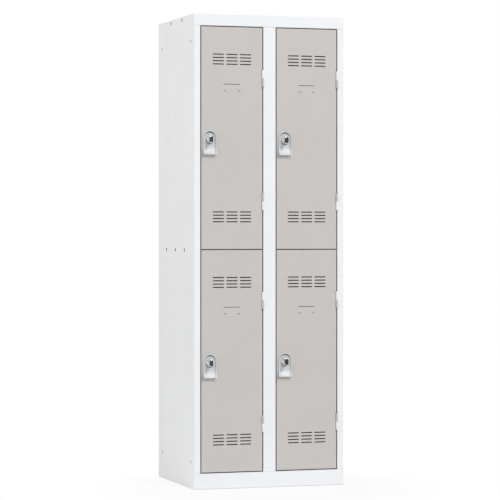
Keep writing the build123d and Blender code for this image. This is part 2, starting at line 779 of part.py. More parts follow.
with BuildPart() as lock_nut:
    with BuildSketch(Plane.XZ.offset(-sheet)):
        with Locations((lock_inset, lock_rise)):
            RegularPolygon(nut_across_corners / 2, 6)
            Circle(barrel_radius, mode=Mode.SUBTRACT)
    extrude(amount=-nut_thickness)

# Lock plug: turns in the housing, with the keyway in front and the cam behind
with BuildPart() as lock_plug:
    with BuildSketch(Plane.XZ.offset(-cam_front)):
        with Locations((lock_inset, lock_rise)):
            Circle(plug_radius)
    extrude(amount=cam_front + boss_height - plug_recess)
    with BuildSketch(Plane.XZ.offset(boss_height - plug_recess)):
        with Locations((lock_inset, lock_rise)):
            Circle(plug_face_radius)
    extrude(amount=plug_recess + lock_running_clearance - plug_face_depth)
    with BuildSketch(Plane.XZ.offset(boss_height)):
        with Locations((lock_inset, lock_rise)):
            Rectangle(key_thickness + 2 * lock_running_clearance, key_width + 2 * lock_running_clearance)
    extrude(amount=-key_insertion - cam_gap, mode=Mode.SUBTRACT)
    with BuildSketch(Plane.XZ.offset(-cam_front)):
        with Locations((lock_inset, lock_rise)):
            Circle(cam_screw_radius)
    extrude(amount=cam_screw_length, mode=Mode.SUBTRACT)

with BuildPart() as lock_cam:
    with BuildSketch(Plane.XZ.offset(-cam_front)):
        with Locations((lock_inset, lock_rise + cam_middle)):
            SlotOverall(cam_length + cam_width / 2, cam_width, rotation=90)
        with Locations((lock_inset, lock_rise)):
            Circle(cam_screw_radius, mode=Mode.SUBTRACT)
    extrude(amount=-cam_thickness)

with BuildPart() as cam_screw:
    with BuildSketch(Plane.XZ.offset(-cam_front - cam_thickness)):
        with Locations((lock_inset, lock_rise)):
            Circle(cam_screw_radius)
    extrude(amount=cam_thickness + cam_screw_length)
    with BuildSketch(Plane.XZ.offset(-cam_front - cam_thickness)):
        with Locations((lock_inset, lock_rise)):
            Circle(cam_screw_head_radius)
    extrude(amount=-cam_screw_head_height)

# Key: a notched blade in the plug, with its tang in a moulded bow
with BuildPart() as key_blade:
    with BuildSketch(Plane.YZ.offset(lock_inset)):
        with Locations((bow_front - key_tang, lock_rise)):
            Rectangle(key_insertion + key_shoulder + key_tang, key_width, align=(Align.MIN, Align.CENTER))
        for notch in range(key_notch_count):
            notch_y = bow_front + key_shoulder + key_insertion - (notch + 1) * key_notch_pitch
            with BuildLine():
                Polyline(
                    (notch_y - key_notch_depth, lock_rise - key_width / 2),
                    (notch_y, lock_rise - key_width / 2 + key_notch_depth),
                    (notch_y + key_notch_depth, lock_rise - key_width / 2),
                    close=True,
                )
            make_face(mode=Mode.SUBTRACT)
    extrude(amount=key_thickness / 2, both=True)

with BuildPart() as key_bow:
    with BuildSketch(Plane.YZ.offset(lock_inset)):
        with Locations((bow_front, lock_rise)):
            RectangleRounded(bow_length, bow_height, bow_corner, align=(Align.MAX, Align.CENTER))
        with Locations((bow_front - bow_length + bow_hole_inset, lock_rise)):
            Circle(bow_hole_radius, mode=Mode.SUBTRACT)
    extrude(amount=bow_thickness / 2, both=True)
    with BuildSketch(Plane.YZ.offset(lock_inset)):
        with Locations((bow_front, lock_rise)):
            Rectangle(key_tang, key_width, align=(Align.MAX, Align.CENTER))
    extrude(amount=key_thickness / 2, both=True, mode=Mode.SUBTRACT)


# The same door, lock and key in each of the four openings
door_pieces = {
    "door_panel": door_panel.part,
    "door_stiffener": door_stiffener.part,
    "door_hinge_leaves": door_hinge_leaves.part,
    "lock_plate": lock_plate.part,
    "lock_housing": lock_housing.part,
    "lock_nut": lock_nut.part,
    "lock_plug": lock_plug.part,
    "lock_cam": lock_cam.part,
    "cam_screw": cam_screw.part,
    "key_blade": key_blade.part,
    "key_bow": key_bow.part,
}
for door_name, (door_x, door_z) in doors.items():
    for piece_name, piece in door_pieces.items():
        placed = piece.moved(Location((door_x, 0, door_z)))
        placed.label = f"{door_name}_{piece_name}"
        export_step(placed, f"parts/{door_name}_{piece_name}.step")
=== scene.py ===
"""Steel locker cabinet: finishes, moulded and cast pieces, studio and camera, round the CAD frame."""

from __future__ import annotations

import json
import logging
import math
from collections.abc import Iterable, Sequence
from dataclasses import dataclass, field
from enum import Enum

import bmesh
import bpy
from mathutils import Matrix, Vector

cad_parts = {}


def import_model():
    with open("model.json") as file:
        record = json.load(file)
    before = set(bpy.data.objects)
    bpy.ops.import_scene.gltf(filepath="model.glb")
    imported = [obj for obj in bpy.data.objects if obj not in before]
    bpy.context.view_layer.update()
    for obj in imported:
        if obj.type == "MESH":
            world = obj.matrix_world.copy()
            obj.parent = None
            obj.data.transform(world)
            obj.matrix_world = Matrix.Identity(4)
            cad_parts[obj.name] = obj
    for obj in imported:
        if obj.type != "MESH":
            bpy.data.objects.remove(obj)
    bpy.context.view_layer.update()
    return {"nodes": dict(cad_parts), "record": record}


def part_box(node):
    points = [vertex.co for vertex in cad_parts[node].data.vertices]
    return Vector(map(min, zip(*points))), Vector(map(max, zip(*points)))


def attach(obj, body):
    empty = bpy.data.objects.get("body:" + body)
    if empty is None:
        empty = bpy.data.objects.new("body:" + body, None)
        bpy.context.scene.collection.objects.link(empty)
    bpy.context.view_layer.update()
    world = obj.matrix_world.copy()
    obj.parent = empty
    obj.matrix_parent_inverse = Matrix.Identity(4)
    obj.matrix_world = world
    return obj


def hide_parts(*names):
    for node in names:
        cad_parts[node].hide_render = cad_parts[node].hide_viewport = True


LOG = logging.getLogger("locker_cabinet")
MM = 0.001  # metres to the millimetre
WELD = 0.00001  # metres within which the CAD mesh's corners are one corner
MERGE = 0.0005  # millimetres within which a form's points are one point
ROUNDED_ABOVE = 40.0  # edges sharper than this, in degrees, are rounded
TINY = 1e-6  # keeps a division from zero
OPENNESS_RAYS = 8  # for each look at how open a place is
NUT_SEAT = 0.95  # radius of a nut's flat end, as a share of the distance to its sides
RGB = tuple[float, float, float]
Point2 = tuple[float, float]
Point3 = tuple[float, float, float]
Socket = bpy.types.NodeSocket
WHITE: RGB = (1.0, 1.0, 1.0)


def linear(red: float, green: float, blue: float) -> RGB:
    """Turns a display colour into linear light.

    Args:
        red: 0 to 255.
        green: 0 to 255.
        blue: 0 to 255.

    Returns:
        The colour, each part 0 to 1.
    """
    values = []
    for shade in (red, green, blue):
        part = shade / 255
        values.append(part / 12.92 if part <= 0.04045 else ((part + 0.055) / 1.055) ** 2.4)
    return values[0], values[1], values[2]


def scaled(colour: RGB, share: float) -> RGB:
    """Makes a colour lighter or darker by a share of itself."""
    return colour[0] * share, colour[1] * share, colour[2] * share


def around(radius: float, angle: float, along: float) -> Vector:
    """Gives the point at a radius and angle round the Z axis, and a place along it."""
    return Vector((radius * math.cos(angle), radius * math.sin(angle), along))


class Door(Enum):
    """The four doors, by tier and column."""

    LOWER_LEFT = "lower_left"
    LOWER_RIGHT = "lower_right"
    UPPER_LEFT = "upper_left"
    UPPER_RIGHT = "upper_right"


class Slot(Enum):
    """Material slots of the record."""

    CARCASS_PAINT = "carcass_paint"
    DOOR_PAINT = "door_paint"
    SATIN_METAL = "satin_metal"
    LOCK_CHROME = "lock_chrome"
    RAIL_CHROME = "rail_chrome"
    ZINC_STEEL = "zinc_steel"
    KEY_STEEL = "key_steel"
    KEY_PLASTIC = "key_plastic"
    BLACK_PLASTIC = "black_plastic"
    BUFFER_RUBBER = "buffer_rubber"


class Sheet:
    """A material's node tree, with short calls that add and join nodes."""

    def __init__(self, name: str) -> None:
        """Starts a material with one Principled shader.

        Args:
            name: of the material.
        """
        self.material = bpy.data.materials.new(name)
        self.material.use_nodes = True
        self.tree = self.material.node_tree
        self.shader = self.tree.nodes["Principled BSDF"]
        self.place = self.add("ShaderNodeTexCoord").outputs["Object"]

    def add(self, kind: str, **settings: object) -> bpy.types.Node:
        """Adds a node.

        Args:
            kind: Blender's name for the node type.
            **settings: attributes to set on it.

        Returns:
            The new node.
        """
        node = self.tree.nodes.new(kind)
        for key, value in settings.items():
            setattr(node, key, value)
        return node

    def join(self, source: Socket, target: Socket) -> None:
        """Links one socket to another."""
        self.tree.links.new(source, target)

    def stretch(self, scale: Point3) -> Socket:
        """Stretches the object's coordinates.

        Args:
            scale: along each axis.

        Returns:
            The stretched coordinates.
        """
        node = self.add("ShaderNodeMapping")
        node.inputs["Scale"].default_value = scale
        self.join(self.place, node.inputs["Vector"])
        return node.outputs["Vector"]

    def noise(self, scale: float, detail: float = 2.0, where: Socket | None = None) -> Socket:
        """Adds cloudy noise.

        Args:
            scale: lumps to the metre.
            detail: octaves of finer noise.
            where: coordinates, the object's own if left out.

        Returns:
            The noise's value, about 0.5 on average.
        """
        node = self.add("ShaderNodeTexNoise")
        node.inputs["Scale"].default_value = scale
        node.inputs["Detail"].default_value = detail
        self.join(where or self.place, node.inputs["Vector"])
        return node.outputs["Fac"]

    def cells(self, scale: float) -> Socket:
        """Adds a grey value that is constant over each random cell.

        Args:
            scale: cells to the metre.

        Returns:
            The value, 0 to 1.
        """
        node = self.add("ShaderNodeTexVoronoi")
        node.inputs["Scale"].default_value = scale
        self.join(self.place, node.inputs["Vector"])
        split = self.add("ShaderNodeSeparateColor")
        self.join(node.outputs["Color"], split.inputs["Color"])
        return split.outputs["Red"]

    def openness(self, reach: float, above: bool = False) -> Socket:
        """Gives how open a place is, from 0 when shut in to 1 when free.

        Args:
            reach: how far away other surfaces count, in metres.
            above: whether to look straight up instead of away from the surface.

        Returns:
            The share.
        """
        node = self.add("ShaderNodeAmbientOcclusion", samples=OPENNESS_RAYS)
        node.inputs["Distance"].default_value = reach
        if above:
            upwards = self.add("ShaderNodeCombineXYZ")
            upwards.inputs["Z"].default_value = 1.0
            self.join(upwards.outputs["Vector"], node.inputs["Normal"])
        return node.outputs["AO"]

    def spread(self, value: Socket, low: float, high: float, start: float = 0.3, end: float = 0.7) -> Socket:
        """Maps a value to a range.

        Args:
            value: what is mapped.
            low: result at the start of the input range.
            high: result at its end.
            start: input value that gives low.
            end: input value that gives high.

        Returns:
            The mapped value.
        """
        node = self.add("ShaderNodeMapRange")
        for key, number in (("From Min", start), ("From Max", end), ("To Min", low), ("To Max", high)):
            node.inputs[key].default_value = number
        self.join(value, node.inputs["Value"])
        return node.outputs["Result"]

    def ramp(self, value: Socket, dark: RGB, light: RGB, start: float = 0.3, end: float = 0.7) -> Socket:
        """Turns a value into a colour between two.

        Args:
            value: 0 to 1.
            dark: colour at the start.
            light: colour at the end.
            start: value where the change starts.
            end: value where it ends.

        Returns:
            The colour.
        """
        node = self.add("ShaderNodeValToRGB")
        first, last = node.color_ramp.elements
        first.position, last.position = start, end
        first.color, last.color = (*dark, 1.0), (*light, 1.0)
        self.join(value, node.inputs["Fac"])
        return node.outputs["Color"]

    def mixed(self, share: Socket, first: Socket, second: RGB) -> Socket:
        """Mixes a colour towards a fixed one.

        Args:
            share: of the fixed colour, 0 to 1.
            first: the colour.
            second: the fixed colour.

        Returns:
            The mixed colour.
        """
        node = self.add("ShaderNodeMix", data_type="RGBA")
        colours = [socket for socket in node.inputs if socket.type == "RGBA"]
        colours[1].default_value = (*second, 1.0)
        self.join(share, node.inputs[0])
        self.join(first, colours[0])
        return next(socket for socket in node.outputs if socket.type == "RGBA")

    def bump(self, height: Socket, depth: float, under: Socket | None = None) -> Socket:
        """Raises the surface by a height map.

        Args:
            height: 0 to 1.
            depth: metres from 0 to 1.
            under: normal of a coarser relief, if there is one.

        Returns:
            The bumped normal.
        """
        node = self.add("ShaderNodeBump")
        node.inputs["Strength"].default_value = 1.0
        node.inputs["Distance"].default_value = depth
        self.join(height, node.inputs["Height"])
        if under is not None:
            self.join(under, node.inputs["Normal"])
        return node.outputs["Normal"]

    def finish(self, **sockets: object) -> bpy.types.Material:
        """Sets or links the shader's sockets.

        Args:
            **sockets: socket names with _ for a space, and a number, a colour or a node's output.

        Returns:
            The finished material.
        """
        for key, value in sockets.items():
            socket = self.shader.inputs[key.replace("_", " ")]
            if isinstance(value, Socket):
                self.join(value, socket)
            elif isinstance(value, tuple):
                socket.default_value = (*value, 1.0)
            else:
                socket.default_value = value
        return self.material


@dataclass(frozen=True)
class Finish:
    """What every finish has."""

    name: str
    colour: RGB

    def build(self) -> bpy.types.Material:
        """Builds the finish's material."""
        raise NotImplementedError


@dataclass(frozen=True)
class PowderCoat(Finish):
    """Baked powder paint on folded sheet: orange peel, slow waviness, faint scuffs, and painted shade that
    darkens narrow joints.
    """

    peel_scale: float = 620.0
    peel_depth: float = 0.000035
    wave_scale: float = 5.0
    wave_depth: float = 0.0006
    tone_spread: float = 0.018
    roughness: Point2 = (0.36, 0.46)
    scuff: float = 0.05
    # The three joint fields set painted shade: narrow joints between parts are darkened where other surfaces
    # close them in.
    joint_shade_reach: float = 0.02
    joint_shade_tone: float = 0.45
    joint_shade_range: Point2 = (0.2, 0.5)
    tone_scale: float = 7.0
    scuff_scale: float = 38.0
    scuff_stretch: Point3 = (0.35, 0.35, 1.0)
    scuff_range: Point2 = (0.56, 0.74)
    scuff_tone: float = 0.62
    sheen_scale: float = 22.0
    gloss: float = 0.42

    def build(self) -> bpy.types.Material:
        """Builds the paint.

        Returns:
            The material.
        """
        sheet = Sheet(self.name)
        wave = sheet.bump(sheet.noise(self.wave_scale, 1.0), self.wave_depth)
        peel = sheet.bump(sheet.noise(self.peel_scale, 3.0), self.peel_depth, wave)
        darker = scaled(self.colour, 1 - self.tone_spread)
        lighter = scaled(self.colour, 1 + self.tone_spread / 3)
        tone = sheet.ramp(sheet.noise(self.tone_scale, 4.0), darker, lighter)
        rub = sheet.noise(self.scuff_scale, 6.0, sheet.stretch(self.scuff_stretch))
        scuff_and_highlight = sheet.spread(rub, 0.0, self.scuff, *self.scuff_range)
        worn = sheet.mixed(scuff_and_highlight, tone, scaled(self.colour, self.scuff_tone))
        # Painted shade: the colour darkens in narrow joints between parts, where other surfaces close them
        # in and shade falls.
        shut = sheet.spread(sheet.openness(self.joint_shade_reach), 1.0, 0.0, *self.joint_shade_range)
        shaded_colour = sheet.mixed(shut, worn, scaled(self.colour, self.joint_shade_tone))
        rough = sheet.spread(sheet.noise(self.sheen_scale, 5.0), *self.roughness)
        return sheet.finish(Base_Color=shaded_colour, Roughness=rough, Normal=peel, Specular_IOR_Level=self.gloss)


@dataclass(frozen=True)
class Chrome(Finish):
    """Bright plating with hairline scratches along one direction."""

    roughness: Point2
    hairlines: Point3 = (400.0, 400.0, 400.0)
    hairline_depth: float = 0.000004
    cloud_scale: float = 60.0
    dulled: float = 0.93

    def build(self) -> bpy.types.Material:
        """Builds the plating.

        Returns:
            The material.
        """
        sheet = Sheet(self.name)
        lines = sheet.noise(1.0, 3.0, sheet.stretch(self.hairlines))
        cloud = sheet.noise(self.cloud_scale, 4.0)
        tone = sheet.ramp(cloud, scaled(self.colour, self.dulled), self.colour)
        return sheet.finish(
            Base_Color=tone,
            Metallic=1.0,
            Roughness=sheet.spread(cloud, *self.roughness),
            Normal=sheet.bump(lines, self.hairline_depth),
        )


@dataclass(frozen=True)
class ZincPlate(Finish):
    """Zinc plate with a spangle of small crystals."""

    spangle: float = 900.0
    roughness: Point2 = (0.3, 0.46)
    tones: Point2 = (0.88, 1.04)
    grain_scale: float = 2400.0
    grain_depth: float = 0.000008

    def build(self) -> bpy.types.Material:
        """Builds the plate.

        Returns:
            The material.
        """
        sheet = Sheet(self.name)
        crystals = sheet.cells(self.spangle)
        dark, light = (scaled(self.colour, share) for share in self.tones)
        tone = sheet.ramp(crystals, dark, light, 0.0, 1.0)
        grain = sheet.bump(sheet.noise(self.grain_scale), self.grain_depth)
        rough = sheet.spread(crystals, *self.roughness, 0.0, 1.0)
        return sheet.finish(Base_Color=tone, Metallic=1.0, Roughness=rough, Normal=grain)


@dataclass(frozen=True)
class SatinCasting(Finish):
    """Die-cast metal under satin lacquer: fine grain, with a painted highlight where the surface is open
    above and a painted shadow under rims and the boss.
    """

    metallic: float = 0.75
    roughness: Point2 = (0.34, 0.46)
    # The next five fields set painted light: a painted highlight where the casting is open above, and a
    # near-black painted shadow under rims and the boss.
    scuff_and_highlight: float = 1.7
    shadow_tone: float = 0.05
    shadow_reach: float = 0.012
    highlight_range: Point2 = (0.72, 1.0)
    shadow_range: Point2 = (0.05, 0.26)
    tones: Point2 = (0.94, 1.02)
    cloud_scale: float = 140.0
    grain_scale: float = 2600.0
    grain_depth: float = 0.00001

    def build(self) -> bpy.types.Material:
        """Builds the casting's surface.

        Returns:
            The material.
        """
        sheet = Sheet(self.name)
        cloud = sheet.noise(self.cloud_scale, 4.0)
        grain = sheet.bump(sheet.noise(self.grain_scale), self.grain_depth)
        tone = sheet.ramp(cloud, *(scaled(self.colour, share) for share in self.tones))
        # Painted light: looking straight up, places open to the sky get a painted highlight, and places
        # under the rim's arch and the boss get a painted shadow.
        share = sheet.openness(self.shadow_reach, above=True)
        free = sheet.spread(share, 0.0, 1.0, *self.highlight_range)
        bright = sheet.mixed(free, tone, scaled(self.colour, self.scuff_and_highlight))
        shut = sheet.spread(share, 1.0, 0.0, *self.shadow_range)
        shaded_colour = sheet.mixed(shut, bright, scaled(self.colour, self.shadow_tone))
        rough = sheet.spread(cloud, *self.roughness)
        return sheet.finish(Base_Color=shaded_colour, Metallic=self.metallic, Roughness=rough, Normal=grain)


@dataclass(frozen=True)
class Moulding(Finish):
    """Moulded plastic or rubber with a spark-eroded texture."""

    roughness: Point2
    texture_scale: float = 1700.0
    texture_depth: float = 0.00003
    gloss: float = 0.5
    cloud_scale: float = 90.0
    tones: Point2 = (0.85, 1.15)

    def build(self) -> bpy.types.Material:
        """Builds the moulding's surface.

        Returns:
            The material.
        """
        sheet = Sheet(self.name)
        cloud = sheet.noise(self.cloud_scale, 3.0)
        tone = sheet.ramp(cloud, *(scaled(self.colour, share) for share in self.tones))
        texture = sheet.bump(sheet.noise(self.texture_scale), self.texture_depth)
        return sheet.finish(
            Base_Color=tone,
            Roughness=sheet.spread(cloud, *self.roughness),
            Normal=texture,
            Specular_IOR_Level=self.gloss,
        )


RECIPES: dict[Slot, Finish] = {
    Slot.CARCASS_PAINT: PowderCoat("carcass_powder_coat", linear(243, 245, 248)),
    Slot.DOOR_PAINT: PowderCoat("door_powder_coat", linear(203, 199, 196)),
    Slot.SATIN_METAL: SatinCasting(
        "satin_casting", linear(205, 208, 210), metallic=0.2, roughness=(0.5, 0.6)
    ),
    Slot.LOCK_CHROME: Chrome("lock_chrome_plate", linear(216, 218, 220), (0.1, 0.2)),
    Slot.RAIL_CHROME: Chrome(
        "rail_chrome_plate", linear(205, 206, 208), (0.12, 0.24), (6.0, 900.0, 900.0)
    ),
    Slot.ZINC_STEEL: ZincPlate("bright_zinc_plate", linear(196, 199, 202)),
    Slot.KEY_STEEL: Chrome("nickel_plate", linear(205, 202, 196), (0.2, 0.32), (900.0, 40.0, 900.0)),
    Slot.KEY_PLASTIC: Moulding("key_bow_plastic", linear(32, 32, 34), (0.42, 0.56)),
    Slot.BLACK_PLASTIC: Moulding("black_support_plastic", linear(34, 34, 35), (0.46, 0.6)),
    Slot.BUFFER_RUBBER: Moulding(
        "buffer_rubber", linear(66, 66, 67), (0.75, 0.9), 1200.0, 0.00006, gloss=0.3
    ),
}


@dataclass
class Finishes:
    """Every finish of the cabinet, built once."""

    recipes: dict[Slot, Finish] = field(default_factory=lambda: dict(RECIPES))
    built: dict[Slot, bpy.types.Material] = field(default_factory=dict)

    def build(self) -> None:
        """Builds the material of each slot."""
        for slot, recipe in self.recipes.items():
            self.built[slot] = recipe.build()
            LOG.info("finish %s for slot %s", recipe.name, slot.value)

    def of(self, slot: Slot) -> bpy.types.Material:
        """Gives the material of a slot."""
        return self.built[slot]


@dataclass
class Cad:
    """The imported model, and the slot that each of its nodes takes its finish from."""

    nodes: dict[str, bpy.types.Object]
    slots: dict[str, Slot]
    finishes: Finishes

    def dress(self, name: str) -> None:
        """Gives a CAD node the finish of its slot.

        Args:
            name: of the node.
        """
        node = self.nodes[name]
        material = self.finishes.of(self.slots[name])
        if not node.material_slots:
            node.data.materials.append(material)
        for slot in node.material_slots:
            slot.material = material

    def centre(self, name: str) -> Vector:
        """Gives the middle of a CAD node's box, in metres."""
        low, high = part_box(name)
        return (low + high) / 2

    def solids(self, name: str) -> list[tuple[Vector, Vector]]:
        """Finds the separate solids of a CAD node.

        Args:
            name: of the node.

        Returns:
            The lowest and highest corner of each solid, in millimetres.
        """
        mesh = bmesh.new()
        mesh.from_mesh(self.nodes[name].data)
        bmesh.ops.remove_doubles(mesh, verts=mesh.verts, dist=WELD)
        boxes = []
        left = set(mesh.verts)
        while left:
            front, found = [left.pop()], []
            while front:
                vertex = front.pop()
                found.append(vertex.co / MM)
                near = {edge.other_vert(vertex) for edge in vertex.link_edges} & left
                left -= near
                front += near
            low = Vector([min(point[axis] for point in found) for axis in range(3)])
            high = Vector([max(point[axis] for point in found) for axis in range(3)])
            boxes.append((low, high))
        mesh.free()
        return sorted(boxes, key=lambda box: [round(part, 1) for part in box[0]])

    def round_edges(self, name: str, width: float) -> None:
        """Rounds the edges of a CAD node as it is drawn, with its mesh left alone.

        Args:
            name: of the node.
            width: of the rounding, in millimetres.
        """
        node = self.nodes[name]
        weld = node.modifiers.new("joined_faces", "WELD")
        weld.merge_threshold = WELD
        soften(node, width)

    def show(self, piece: bpy.types.Object, slot: Slot, body: str, node: str) -> None:
        """Puts a piece on a body in the place of a CAD node.

        Args:
            piece: the new object.
            slot: that it takes its finish from.
            body: that it moves with.
            node: that it stands for.
        """
        piece.data.materials.append(self.finishes.of(slot))
        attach(piece, body)
        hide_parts(node)
        LOG.info("piece %s", piece.name)


@dataclass(frozen=True)
class Crown:
    """A slightly domed round face, in millimetres."""

    radius: float
    rim: float
    rise: float

    def height(self, radius: float) -> float:
        """Gives the face's place along the axis at a radius."""
        return self.rim + self.rise * (1 - (radius / self.radius) ** 2)


@dataclass(frozen=True)
class Recess:
    """A cross or a plain slot sunk in a face, in millimetres."""

    length: float
    width: float
    floor: float
    crossed: bool = False
    draft: float = 1.0

    def reach(self, angle: float) -> float:
        """Gives how far the recess reaches from the axis in a direction.

        Args:
            angle: of the direction, in radians.

        Returns:
            The distance.
        """
        across, along = max(abs(math.cos(angle)), TINY), max(abs(math.sin(angle)), TINY)
        reach = min(self.width / 2 / across, self.length / 2 / along)
        if self.crossed:
            reach = max(reach, min(self.length / 2 / across, self.width / 2 / along))
        return reach


class Form:
    """A mesh drawn in millimetres, for one piece."""

    def __init__(self) -> None:
        """Starts with no faces."""
        self.mesh = bmesh.new()

    def loft(self, rings: Sequence[Sequence[Vector]], closed: bool = True) -> None:
        """Joins rings of points by faces.

        Args:
            rings: as many points in each.
            closed: whether each ring runs round to its start.
        """
        rows = [[self.mesh.verts.new(point) for point in ring] for ring in rings]
        count = len(rows[0])
        for near, far in zip(rows, rows[1:]):
            for step in range(count if closed else count - 1):
                after = (step + 1) % count
                self.mesh.faces.new((near[step], near[after], far[after], far[step]))

    def lathe(self, profile: Iterable[Point2], turn: Matrix, steps: int = 48) -> None:
        """Turns a profile of radii and places along the Z axis, which turn takes to the one wanted."""
        angles = [math.tau * step / steps for step in range(steps)]
        self.loft([[turn @ around(radius, angle, along) for angle in angles] for radius, along in profile])

    def nut(self, across: float, bore: float, height: float, turn: Matrix, steps: int = 48) -> None:
        """Adds a hexagonal nut whose corners are chamfered at both ends.

        Args:
            across: from corner to corner.
            bore: radius of the hole.
            height: along the axis.
            turn: takes the local Z axis to the nut's.
            steps: faces round it, a multiple of six.
        """
        half_side = math.pi / 6
        flat = across / 2 * math.cos(half_side)
        seat = flat * NUT_SEAT
        rings: list[list[Vector]] = [[] for _ in range(7)]
        for step in range(steps):
            angle = math.tau * step / steps
            side = flat / math.cos((angle % (2 * half_side)) - half_side)
            cut = (side - seat) * math.tan(half_side)
            profile = [(bore, 0), (seat, 0), (side, cut), (side, height - cut)]
            profile += [(seat, height), (bore, height), (bore, 0)]
            for ring, (radius, along) in zip(rings, profile):
                ring.append(turn @ around(radius, angle, along))
        self.loft(rings)

    def recessed(
        self, recess: Recess, crown: Crown, profile: Sequence[Point2], turn: Matrix, steps: int = 96
    ) -> None:
        """Turns a piece whose crowned face has a shaped recess in its middle.

        Args:
            recess: the shape and depth.
            crown: the face.
            profile: radius and place along the axis of the rest, from the face's edge on.
            turn: takes the local Z axis to the piece's.
            steps: faces round it.
        """
        rows = [(0.0, recess.floor, 0.0), (recess.draft, recess.floor, 0.0)]
        rows += [(1.0, None, blend) for blend in (0.0, 0.25, 0.5, 0.75, 1.0)]
        angles = [math.tau * (step + 0.5) / steps for step in range(steps)]
        rings: list[list[Vector]] = []
        for size, along, blend in rows:
            ring = []
            for angle in angles:
                edge = recess.reach(angle)
                radius = size * (edge + (crown.radius - edge) * blend)
                height = crown.height(radius) if along is None else along
                ring.append(turn @ around(radius, angle, height))
            rings.append(ring)
        rings += [[turn @ around(radius, angle, along) for angle in angles] for radius, along in profile]
        self.loft(rings)

    def slab(self, loops: Sequence[Sequence[Vector]], through: Vector) -> None:
        """Fills flat loops, the first one outside and the others holes, and thickens them.

        Args:
            loops: points of each loop, in one plane.
            through: the thickness, as a direction and a length.
        """
        edges = []
        for loop in loops:
            verts = [self.mesh.verts.new(point) for point in loop]
            edges += [self.mesh.edges.new((verts[step - 1], verts[step])) for step in range(len(verts))]
        filled = bmesh.ops.triangle_fill(self.mesh, use_beauty=True, use_dissolve=True, edges=edges)
        faces = [item for item in filled["geom"] if isinstance(item, bmesh.types.BMFace)]
        raised = bmesh.ops.extrude_face_region(self.mesh, geom=faces, use_keep_orig=True)
        moved = [item for item in raised["geom"] if isinstance(item, bmesh.types.BMVert)]
        bmesh.ops.translate(self.mesh, verts=moved, vec=through)

    def place(self, name: str, at: Vector, smooth_angle: float = 35.0) -> bpy.types.Object:
        """Makes the object.

        Args:
            name: of the piece.
            at: its origin, in metres.
            smooth_angle: edges sharper than this, in degrees, stay crisp.

        Returns:
            The new object, in the scene.
        """
        bmesh.ops.remove_doubles(self.mesh, verts=self.mesh.verts, dist=MERGE)
        bmesh.ops.recalc_face_normals(self.mesh, faces=self.mesh.faces)
        bmesh.ops.scale(self.mesh, vec=(MM, MM, MM), verts=self.mesh.verts)
        data = bpy.data.meshes.new(name)
        self.mesh.to_mesh(data)
        self.mesh.free()
        data.polygons.foreach_set("use_smooth", [True] * len(data.polygons))
        data.set_sharp_from_angle(angle=math.radians(smooth_angle))
        piece = bpy.data.objects.new(name, data)
        bpy.context.scene.collection.objects.link(piece)
        piece.location = at
        return piece


ALONG_Y = Matrix.Rotation(math.radians(90), 4, "X")  # local Z runs towards the front, -Y
ALONG_X = Matrix.Rotation(math.radians(90), 4, "Y")


def soften(piece: bpy.types.Object, width: float, segments: int = 2) -> None:
    """Rounds a piece's sharp edges.

    Args:
        piece: the object.
        width: of the rounding, in millimetres.
        segments: faces across it.
    """
    bevel = piece.modifiers.new("rounded_edges", "BEVEL")
    bevel.width = width * MM
    bevel.segments = segments
    bevel.limit_method = "ANGLE"
    bevel.angle_limit = math.radians(ROUNDED_ABOVE)
    bevel.harden_normals = True


def arc(centre: Point2, radius: float, start: float, end: float, steps: int = 6) -> list[Point2]:
    """Gives points along an arc.

    Args:
        centre: of the arc.
        radius: of the arc.
        start: angle of the first point, in degrees.
        end: angle of the last point.
        steps: spans between points.

    Returns:
        The points.
    """
    points = []
    for step in range(steps + 1):
        angle = math.radians(start + (end - start) * step / steps)
        points.append((centre[0] + radius * math.cos(angle), centre[1] + radius * math.sin(angle)))
    return points


@dataclass
class LockPiece:
    """A piece of a lock in a finer mesh than the CAD's, in millimetres from the lock's axis."""

    crisp_above: float = 35.0
    edge_round: float = 0.0
    edge_spans: int = 2

    def draw(self, form: Form) -> None:
        """Draws the piece on a form."""
        raise NotImplementedError

    def build(self, name: str, at: Vector) -> bpy.types.Object:
        """Builds the piece.

        Args:
            name: of the piece.
            at: its origin, in metres.

        Returns:
            The piece.
        """
        form = Form()
        self.draw(form)
        piece = form.place(name, at, self.crisp_above)
        if self.edge_round:
            soften(piece, self.edge_round, self.edge_spans)
        return piece


